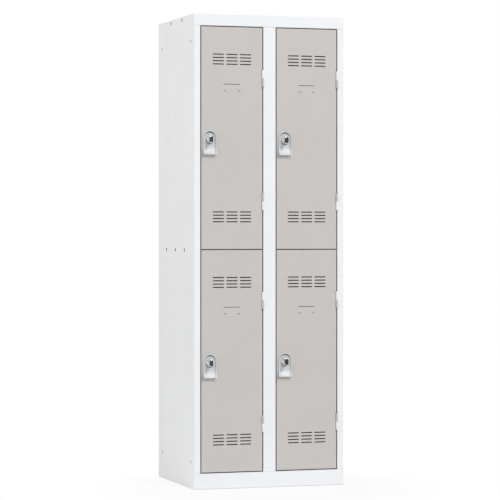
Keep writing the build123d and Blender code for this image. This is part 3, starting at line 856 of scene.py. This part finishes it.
@dataclass
class LockPlate(LockPiece):
    """Arched dish with a raised rim, whose lower end flares out as a pull lip."""

    width: float = 52.0
    arch_rise: float = 8.0
    drop: float = 57.0
    rim_width: float = 4.5
    rim_height: float = 6.0
    floor: float = 1.5
    lip_reach: float = 18.5
    flare_height: float = 32.0
    rim_round: float = 2.1
    floor_round: float = 0.9
    spigot_radius: float = 1.8
    spigot_rise: float = 23.0
    spigot_length: float = 2.5
    spigot_break: float = 0.4
    spigot_root: float = 0.2
    back_break: float = 0.3
    floor_start: float = 8.0
    edge_round: float = 0.35
    side_spans: int = 26
    arch_spans: int = 36

    def flare(self, height: float) -> float:
        """Gives how far the plate has curved out at a height.

        Args:
            height: above the lock's axis.

        Returns:
            The distance towards the front.
        """
        run = self.drop - self.flare_height
        below = max(0.0, -run - height)
        reach = self.lip_reach - self.rim_height
        radius = (reach**2 + self.flare_height**2) / (2 * reach)
        return radius - math.sqrt(radius**2 - min(below, self.flare_height) ** 2)

    def section(self) -> list[Point2]:
        """Gives the half section.

        Returns:
            Distance in from the outer edge, and height off the door, point by point.
        """
        high, edge = self.rim_height, self.rim_round
        low, toe = self.floor, self.floor_round
        points = [(self.width / 2, 0.0), (self.back_break, 0.0), (0.0, self.back_break)]
        points += [(edge - x, high - edge + y) for x, y in arc((0, 0), edge, 0, 90)]
        points += [(self.rim_width - edge + x, high - edge + y) for x, y in arc((0, 0), edge, 90, 0)]
        points += [(self.rim_width + toe - x, low + toe - y) for x, y in arc((0, 0), toe, 0, 90, 4)]
        points += [(self.rim_width + self.floor_start, low), (self.width / 2, low)]
        return points

    def stations(self) -> list[tuple[Vector, Vector]]:
        """Gives the path of the outer edge.

        Returns:
            Its points, each with the direction inwards.
        """
        half, foot = self.width / 2, -self.drop
        spans = self.side_spans
        heights = [foot + (self.arch_rise - foot) * step / spans for step in range(spans)]
        path = [(Vector((-half, 0, height)), Vector((1, 0, 0))) for height in heights]
        for step in range(self.arch_spans + 1):
            angle = math.pi - math.pi * step / self.arch_spans
            outward = Vector((math.cos(angle), 0, math.sin(angle)))
            path.append((Vector((0, 0, self.arch_rise)) + outward * half, -outward))
        path += [(Vector((half, 0, height)), Vector((-1, 0, 0))) for height in reversed(heights)]
        return path

    def draw(self, form: Form) -> None:
        """Draws the plate with its locating spigot.

        Args:
            form: that it is drawn on.
        """
        rings = []
        for edge, inward in self.stations():
            ring = []
            for distance, height in self.section():
                point = edge + inward * distance
                ring.append(Vector((point.x, -height - self.flare(point.z), point.z)))
            rings.append(ring)
        form.loft(rings, closed=False)
        bmesh.ops.remove_doubles(form.mesh, verts=form.mesh.verts, dist=MERGE)
        foot = [edge for edge in form.mesh.edges if edge.is_boundary]
        bmesh.ops.triangle_fill(form.mesh, use_beauty=True, use_dissolve=True, edges=foot)
        radius, end, cut = self.spigot_radius, self.spigot_length, self.spigot_break
        spigot = [(0.0, end), (radius - cut, end), (radius, end - cut)]
        spigot += [(radius, -self.spigot_root), (0.0, -self.spigot_root)]
        seat = Matrix.Translation((0, 0, self.spigot_rise))
        form.lathe([(across, -along) for across, along in spigot], seat @ ALONG_Y, 24)


@dataclass
class LockBoss(LockPiece):
    """Chromed boss with a rolled front edge, and the threaded barrel behind it."""

    radius: float = 14.5
    taper: float = 1.0
    height: float = 12.0
    front_round: float = 1.8
    roll_lip: float = 0.1
    roll_drop: float = 0.6
    bore: float = 10.05
    bore_depth: float = 2.0
    shaft_bore: float = 7.55
    barrel_radius: float = 9.5
    barrel_end: float = 21.8
    thread_pitch: float = 1.25
    thread_depth: float = 0.55
    thread_start: float = 0.4
    barrel_break: float = 0.6
    mouth_break: float = 0.35
    seat: float = 1.5
    seat_break: float = 0.5
    band: float = 1.2
    band_top: float = 1.5
    band_step: float = 0.35

    def draw(self, form: Form) -> None:
        """Draws the housing as one turned piece.

        Args:
            form: that it is drawn on.
        """
        front, edge, outside, seat = self.height, self.front_round, self.radius, self.seat
        narrow, barrel, floor = outside - self.taper, self.barrel_radius, front - self.bore_depth
        profile = [(barrel, seat), (outside - self.seat_break, seat), (outside, seat + self.seat_break)]
        profile += [(outside, seat + self.band), (outside - self.band_step, seat + self.band_top)]
        profile += [(narrow + self.roll_lip, front - edge - self.roll_drop)]
        profile += arc((narrow - edge, front - edge), edge, 0, 90, 8)
        profile += [(self.bore + self.mouth_break, front), (self.bore, front - self.mouth_break)]
        profile += [(self.bore, floor), (self.shaft_bore, floor), (self.shaft_bore, -self.barrel_end)]
        profile += [(barrel - self.barrel_break, -self.barrel_end)]
        along = -self.barrel_end + self.thread_start
        while along < seat - self.thread_pitch:
            profile += [(barrel - self.thread_depth, along), (barrel, along + self.thread_pitch / 2)]
            along += self.thread_pitch
        profile.append((barrel, seat))
        form.lathe(profile, ALONG_Y, 64)


@dataclass
class KeyBow(LockPiece):
    """Moulded key head with rounded corners, soft edges and a ring hole."""

    front: float = 13.5
    length: float = 27.0
    height: float = 21.5
    thickness: float = 4.5
    corner: float = 5.0
    hole_radius: float = 2.5
    hole_inset: float = 6.0
    edge_round: float = 1.3
    edge_spans: int = 4
    corner_spans: int = 8
    hole_sides: int = 24

    def outline(self) -> list[Point2]:
        """Gives the outline.

        Returns:
            The points, along the key and up.
        """
        near, far = -self.front, -self.front - self.length
        top, radius = self.height / 2, self.corner
        points: list[Point2] = []
        for corner_y, corner_z, start in (
            (near - radius, top - radius, 0),
            (far + radius, top - radius, 90),
            (far + radius, -top + radius, 180),
            (near - radius, -top + radius, 270),
        ):
            points += arc((corner_y, corner_z), radius, start, start + 90, self.corner_spans)
        return points

    def draw(self, form: Form) -> None:
        """Draws the bow.

        Args:
            form: that it is drawn on.
        """
        half = self.thickness / 2
        hole_y = -self.front - self.length + self.hole_inset
        last = 360 - 360 / self.hole_sides
        ring = arc((hole_y, 0), self.hole_radius, 0, last, self.hole_sides - 1)
        hole = [Vector((-half, y, z)) for y, z in ring]
        outer = [Vector((-half, y, z)) for y, z in self.outline()]
        form.slab([outer, hole], Vector((self.thickness, 0, 0)))


@dataclass
class LockPlug(LockPiece):
    """Turning plug with a domed face and the keyway through it."""

    crisp_above: float = 25.0
    face_radius: float = 10.0
    face_front: float = 11.1
    face_crown: float = 1.0
    face_rear: float = 10.05
    shaft_radius: float = 7.5
    shaft_end: float = 22.3
    keyway_height: float = 8.1
    keyway_width: float = 2.1
    keyway_end: float = 13.5
    screw_radius: float = 2.5
    screw_end: float = 16.3
    face_break: float = 0.35

    def draw(self, form: Form) -> None:
        """Draws the plug as one skin.

        Args:
            form: that it is drawn on.
        """
        face, shaft, screw = self.face_radius, self.shaft_radius, self.screw_radius
        crown = Crown(face - self.face_break, self.face_front, self.face_crown)
        profile = [(face, self.face_front - self.face_break), (face, self.face_rear)]
        profile += [(shaft, self.face_rear), (shaft, -self.shaft_end)]
        profile += [(screw, -self.shaft_end), (screw, -self.screw_end), (0.0, -self.screw_end)]
        keyway = Recess(self.keyway_height, self.keyway_width, -self.keyway_end)
        form.recessed(keyway, crown, profile, ALONG_Y)


@dataclass
class LockNut(LockPiece):
    """Flat hexagonal nut that clamps the lock to the door."""

    crisp_above: float = 25.0
    across: float = 28.0
    bore: float = 9.5
    thickness: float = 4.0
    seat: float = 0.8

    def draw(self, form: Form) -> None:
        """Draws the nut on a form."""
        rear = Matrix.Translation((0, self.seat + self.thickness, 0))
        form.nut(self.across, self.bore, self.thickness, rear @ ALONG_Y)


@dataclass
class CamScrew(LockPiece):
    """Pan-head screw with a cross recess that holds the cam."""

    crisp_above: float = 30.0
    head_radius: float = 4.5
    head_front: float = 24.3
    head_height: float = 2.5
    shank_radius: float = 2.45
    shank_end: float = 16.35
    head_edge: float = 0.9
    crown_rise: float = 0.5
    edge_drop: float = 0.9
    side_drop: float = 1.7
    cross_length: float = 4.4
    cross_width: float = 1.2
    cross_floor: float = 0.9
    cross_draft: float = 0.45

    def draw(self, form: Form) -> None:
        """Draws the screw, seen from behind the door.

        Args:
            form: that it is drawn on.
        """
        head, shank, front, edge = self.head_radius, self.shank_radius, self.head_front, self.head_edge
        top = front + self.head_height
        crown = Crown(head - edge, top - self.crown_rise, self.crown_rise)
        profile = [(head - edge * 0.4, top - self.edge_drop), (head, top - self.side_drop), (head, front)]
        profile += [(shank, front), (shank, self.shank_end), (0.0, self.shank_end)]
        floor = front + self.cross_floor
        cross = Recess(self.cross_length, self.cross_width, floor, crossed=True, draft=self.cross_draft)
        form.recessed(cross, crown, profile, ALONG_Y.inverted())


@dataclass
class LockSet:
    """One door's lock: plate, boss, plug, nut, cam, screw and key."""

    door: Door
    plate: LockPlate = field(default_factory=LockPlate)
    boss: LockBoss = field(default_factory=LockBoss)
    bow: KeyBow = field(default_factory=KeyBow)
    plug: LockPlug = field(default_factory=LockPlug)
    nut: LockNut = field(default_factory=LockNut)
    screw: CamScrew = field(default_factory=CamScrew)
    cam_round: float = 0.35
    blade_round: float = 0.18

    def build(self, cad: Cad) -> None:
        """Builds and dresses the lock's pieces.

        Args:
            cad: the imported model.
        """
        name = self.door.value
        axis = cad.centre(f"{name}_lock_plug")
        at = Vector((axis.x, 0.0, axis.z))
        makers: dict[str, tuple[LockPiece, str]] = {
            "lock_plate": (self.plate, "door"),
            "lock_housing": (self.boss, "door"),
            "lock_nut": (self.nut, "door"),
            "lock_plug": (self.plug, "lock"),
            "cam_screw": (self.screw, "lock"),
            "key_bow": (self.bow, "key"),
        }
        for part, (maker, body) in makers.items():
            node = f"{name}_{part}"
            cad.show(maker.build(f"{node}_detailed", at), cad.slots[node], f"{name}_{body}", node)
        for part, width in (("lock_cam", self.cam_round), ("key_blade", self.blade_round)):
            cad.dress(f"{name}_{part}")
            cad.round_edges(f"{name}_{part}", width)


@dataclass
class DoorLeaf:
    """One folded door with its stiffener and hinge halves."""

    door: Door
    hinge_round: float = 0.3

    def build(self, cad: Cad) -> None:
        """Dresses the door's pieces.

        Args:
            cad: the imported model.
        """
        for part in ("door_panel", "door_stiffener", "door_hinge_leaves"):
            cad.dress(f"{self.door.value}_{part}")
        cad.round_edges(f"{self.door.value}_door_hinge_leaves", self.hinge_round)


@dataclass
class Fittings:
    """The small like fittings of one CAD node in a finer mesh. All of them are in millimetres."""

    crisp_above: float = 35.0

    def draw(self, form: Form, low: Vector, high: Vector) -> None:
        """Draws one of them on a form, in a box from its low corner to its high one."""
        raise NotImplementedError

    def build(self, cad: Cad, name: str) -> bpy.types.Object:
        """Builds all of them as one piece.

        Args:
            cad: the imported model.
            name: of the node.

        Returns:
            The piece.
        """
        form = Form()
        for low, high in cad.solids(name):
            self.draw(form, low, high)
        return form.place(f"{name}_detailed", Vector(), self.crisp_above)


@dataclass
class RearRivets(Fittings):
    """Blind rivets of the rear panel: domed heads outside, drawn bulbs inside."""

    head_radius: float = 3.2
    head_rise: float = 0.8
    grip: float = 1.6
    shank_radius: float = 1.6
    bulb_radius: float = 2.4
    bulb_rise: float = 1.2
    eye_radius: float = 0.9
    rim: float = 0.15
    bulb_neck: float = 0.6
    dome: tuple[Point2, ...] = ((0.86, 0.3), (0.6, 0.06))  # share of the head's radius, and drop
    eye: tuple[Point2, ...] = ((1.0, 0.2), (0.7, 0.45), (0.0, 0.5))  # share of its radius, and drop

    def profile(self) -> list[Point2]:
        """Gives the profile.

        Returns:
            Radius and place along the axis, from the bulb to the head.
        """
        grip, top = self.grip, self.grip + self.head_rise
        bulb, rise, shank, head = self.bulb_radius, self.bulb_rise, self.shank_radius, self.head_radius
        points = [(0.0, -rise), (bulb * self.bulb_neck, -rise), (bulb, -rise * 0.5)]
        points += [(bulb, 0.0), (shank, 0.0), (shank, grip), (head, grip), (head, grip + self.rim)]
        points += [(head * share, top - drop) for share, drop in self.dome]
        points.append((self.eye_radius + self.rim, top))
        points += [(self.eye_radius * share, top - drop) for share, drop in self.eye]
        return points

    def draw(self, form: Form, low: Vector, high: Vector) -> None:
        """Draws a rivet on a form, in its box."""
        seat = Vector(((low.x + high.x) / 2, low.y + self.bulb_rise, (low.z + high.z) / 2))
        form.lathe(self.profile(), Matrix.Translation(seat) @ ALONG_Y.inverted(), 24)


@dataclass
class DoorBuffers(Fittings):
    """Domed rubber buffers on the door stops."""

    crisp_above: float = 50.0
    edge: float = 0.8
    dome: tuple[Point2, ...] = ((0.25, 0.4), (0.8, 0.12), (1.6, 0.0))  # margin inwards, and drop

    def draw(self, form: Form, low: Vector, high: Vector) -> None:
        """Draws a buffer.

        Args:
            form: that it is drawn on.
            low: the low corner of its box.
            high: the high corner.
        """
        radius, rise = (high.x - low.x) / 2, high.y - low.y
        profile = [(0.0, 0.0), (radius, 0.0), (radius, rise - self.edge)]
        profile += [(radius - margin, rise - drop) for margin, drop in self.dome] + [(0.0, rise)]
        seat = Matrix.Translation(((low.x + high.x) / 2, high.y, (low.z + high.z) / 2))
        form.lathe(profile, seat @ ALONG_Y, 32)


@dataclass
class SupportNuts(Fittings):
    """Chamfered nuts on the studs of the rail supports."""

    crisp_above: float = 25.0
    across: float = 8.0
    bore: float = 2.0

    def draw(self, form: Form, low: Vector, high: Vector) -> None:
        """Draws a nut.

        Args:
            form: that it is drawn on.
            low: the low corner of its box.
            high: the high corner.
        """
        quarter = Matrix.Rotation(math.pi / 2, 4, "Z")
        seat = Matrix.Translation((low.x, (low.y + high.y) / 2, (low.z + high.z) / 2))
        form.nut(self.across, self.bore, high.x - low.x, seat @ ALONG_X @ quarter, 36)


@dataclass
class HingePins(Fittings):
    """Hinge pins, each with a mushroom head on top and a rounded lower end."""

    crisp_above: float = 45.0
    head_radius: float = 3.3
    head_rise: float = 1.3
    end_round: float = 0.6
    end_break: float = 0.18
    rim: float = 0.2
    cap: tuple[Point2, ...] = ((0.92, 0.55), (0.7, 0.85), (0.35, 1.0), (0.0, 1.0))  # radius and rise

    def draw(self, form: Form, low: Vector, high: Vector) -> None:
        """Draws a pin.

        Args:
            form: that it is drawn on.
            low: the low corner of its box.
            high: the high corner.
        """
        radius, length = (high.x - low.x) / 2, high.z - low.z
        head, rise, end, cut = self.head_radius, self.head_rise, self.end_round, self.end_break
        profile = [(0.0, 0.0), (radius - end, 0.0), (radius - cut, cut), (radius, end), (radius, length)]
        profile += [(head, length), (head, length + self.rim)]
        profile += [(head * share, length + rise * part) for share, part in self.cap]
        foot = Matrix.Translation(((low.x + high.x) / 2, (low.y + high.y) / 2, low.z))
        form.lathe(profile, foot, 32)


@dataclass
class Carcass:
    """The folded and welded shell, its shelves, rails and fittings."""

    folded: tuple[str, ...] = (
        "left_side_panel",
        "right_side_panel",
        "centre_stile",
        "centre_partition",
        "top_panel",
        "bottom_panel",
        "rear_panel",
        "left_shelf",
        "right_shelf",
        "hanging_rails",
    )
    rounded: tuple[tuple[str, float], ...] = (("rail_supports", 0.8), ("frame_hinge_leaves", 0.3))
    rivets: RearRivets = field(default_factory=RearRivets)
    buffers: DoorBuffers = field(default_factory=DoorBuffers)
    nuts: SupportNuts = field(default_factory=SupportNuts)
    pins: HingePins = field(default_factory=HingePins)

    def build(self, cad: Cad) -> None:
        """Builds and dresses the carcass's pieces.

        Args:
            cad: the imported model.
        """
        for node in self.folded:
            cad.dress(node)
        for node, width in self.rounded:
            cad.dress(node)
            cad.round_edges(node, width)
        makers: dict[str, Fittings] = {
            "rear_panel_rivets": self.rivets,
            "door_buffers": self.buffers,
            "support_nuts": self.nuts,
            "hinge_pins": self.pins,
        }
        for node, maker in makers.items():
            cad.show(maker.build(cad, node), cad.slots[node], "carcass", node)


@dataclass
class Studio:
    """White sweep of floor, soft lamps, an even surround and the camera."""

    surround: float = 0.45
    key_power: float = 2235.0
    key_place: Point3 = (6.9, -15.8, 14.4)
    key_size: float = 5.0
    fill_power: float = 124.0
    fill_place: Point3 = (-7.0, -0.6, 2.4)
    fill_size: float = 3.0
    fill_tint: RGB = (1.0, 0.968, 0.905)
    aim: Point3 = (0.0, 0.1, 0.9)
    floor_size: float = 30.0
    floor_tones: Point2 = (0.86, 0.9)
    floor_cloud: Point2 = (3.0, 3.0)
    floor_roughness: float = 0.7
    floor_gloss: float = 0.2
    floor_fade: Point2 = (0.4, 0.7)
    floor_faded: Point2 = (0.86, 1.0)
    camera_place: Point3 = (-2.77331, -8.3735, 0.98569)
    camera_yaw: float = 17.84078
    camera_pitch: float = -0.516808
    lens: float = 166.41
    sensor: float = 36.0
    clip: Point2 = (0.1, 100.0)

    def seen(self, tree: bpy.types.NodeTree) -> Socket:
        """Tells what is seen from the light that falls on things.

        Args:
            tree: that the nodes are added to.

        Returns:
            1 where it is seen straight, in gloss or through glass, and 0 where it only gives light.
        """
        path = tree.nodes.new("ShaderNodeLightPath")
        total = path.outputs["Is Camera Ray"]
        for name in ("Is Glossy Ray", "Is Transmission Ray"):
            both = tree.nodes.new("ShaderNodeMath")
            both.operation = "MAXIMUM"
            tree.links.new(total, both.inputs[0])
            tree.links.new(path.outputs[name], both.inputs[1])
            total = both.outputs[0]
        return total

    def world(self) -> None:
        """Makes the even surround: white where it shows, softer as a light."""
        world = bpy.data.worlds.new("studio_surround")
        world.use_nodes = True
        tree = world.node_tree
        lit = tree.nodes["Background"]
        lit.inputs["Color"].default_value = (*WHITE, 1.0)
        lit.inputs["Strength"].default_value = self.surround
        shown = tree.nodes.new("ShaderNodeBackground")
        shown.inputs["Color"].default_value = (*WHITE, 1.0)
        shown.inputs["Strength"].default_value = 1.0
        mix = tree.nodes.new("ShaderNodeMixShader")
        tree.links.new(self.seen(tree), mix.inputs[0])
        tree.links.new(lit.outputs[0], mix.inputs[1])
        tree.links.new(shown.outputs[0], mix.inputs[2])
        tree.links.new(mix.outputs[0], tree.nodes["World Output"].inputs["Surface"])
        bpy.context.scene.world = world

    def lamp(self, name: str, place: Point3, size: float, power: float, tint: RGB = WHITE) -> None:
        """Adds a square soft lamp that points at the cabinet.

        Args:
            name: of the lamp.
            place: of the lamp, in metres.
            size: of its side, in metres.
            power: in watts.
            tint: of its light.
        """
        data = bpy.data.lights.new(name, "AREA")
        data.shape, data.size, data.energy, data.color = "SQUARE", size, power, tint
        lamp = bpy.data.objects.new(name, data)
        bpy.context.scene.collection.objects.link(lamp)
        lamp.location = place
        lamp.rotation_mode = "QUATERNION"
        lamp.rotation_quaternion = (Vector(self.aim) - Vector(place)).to_track_quat("-Z", "Y")

    def floor(self) -> None:
        """Makes the pale floor, plain white away from the cabinet and with its shadow close by."""
        form = Form()
        half = self.floor_size / 2 / MM
        rows = [
            [Vector((x * half, y * half, 0)) for x in (-1, -0.5, 0, 0.5, 1)]
            for y in (-1, -0.5, 0, 0.5, 1)
        ]
        form.loft(rows, closed=False)
        floor = form.place("studio_floor", Vector((0, 0, 0)))
        sheet = Sheet("floor_paint")
        cloud = sheet.noise(*self.floor_cloud)
        grain = sheet.ramp(cloud, *(scaled(WHITE, tone) for tone in self.floor_tones))
        sheet.finish(Base_Color=grain, Roughness=self.floor_roughness, Specular_IOR_Level=self.floor_gloss)
        tree, shader = sheet.tree, sheet.shader
        white = sheet.add("ShaderNodeEmission")
        white.inputs["Strength"].default_value = 1.0
        distance = sheet.add("ShaderNodeVectorMath", operation="LENGTH")
        sheet.join(sheet.place, distance.inputs[0])
        fade = sheet.spread(distance.outputs["Value"], *self.floor_faded, *self.floor_fade)
        shown = sheet.add("ShaderNodeMath", operation="MULTIPLY")
        sheet.join(self.seen(tree), shown.inputs[0])
        sheet.join(fade, shown.inputs[1])
        mix = sheet.add("ShaderNodeMixShader")
        sheet.join(shown.outputs[0], mix.inputs[0])
        sheet.join(shader.outputs[0], mix.inputs[1])
        sheet.join(white.outputs[0], mix.inputs[2])
        sheet.join(mix.outputs[0], tree.nodes["Material Output"].inputs["Surface"])
        floor.data.materials.append(sheet.material)

    def camera(self) -> None:
        """Sets up the camera."""
        data = bpy.data.cameras.new("studio_camera")
        data.lens, data.sensor_width = self.lens, self.sensor
        data.clip_start, data.clip_end = self.clip
        camera = bpy.data.objects.new("studio_camera", data)
        bpy.context.scene.collection.objects.link(camera)
        yaw, pitch = math.radians(self.camera_yaw), math.radians(self.camera_pitch)
        ahead = Vector((math.sin(yaw) * math.cos(pitch), math.cos(yaw) * math.cos(pitch), math.sin(pitch)))
        camera.location = self.camera_place
        camera.rotation_mode = "QUATERNION"
        camera.rotation_quaternion = ahead.to_track_quat("-Z", "Y")
        bpy.context.scene.camera = camera

    def build(self) -> None:
        """Builds the studio."""
        self.world()
        self.lamp("key_lamp", self.key_place, self.key_size, self.key_power)
        self.lamp("fill_lamp", self.fill_place, self.fill_size, self.fill_power, self.fill_tint)
        self.floor()
        self.camera()
        bpy.context.scene.view_settings.view_transform = "Standard"


def main() -> None:
    """Builds the cabinet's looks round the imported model."""
    logging.basicConfig(level=logging.INFO, format="%(message)s")
    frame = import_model()
    finishes = Finishes()
    finishes.build()
    slots = {row["node"]: Slot(row["material_slot"]) for row in frame["record"]["subparts"]}
    cad = Cad(frame["nodes"], slots, finishes)
    Carcass().build(cad)
    for door in Door:
        DoorLeaf(door).build(cad)
        LockSet(door).build(cad)
    Studio().build()


if __name__ == "__main__":
    main()
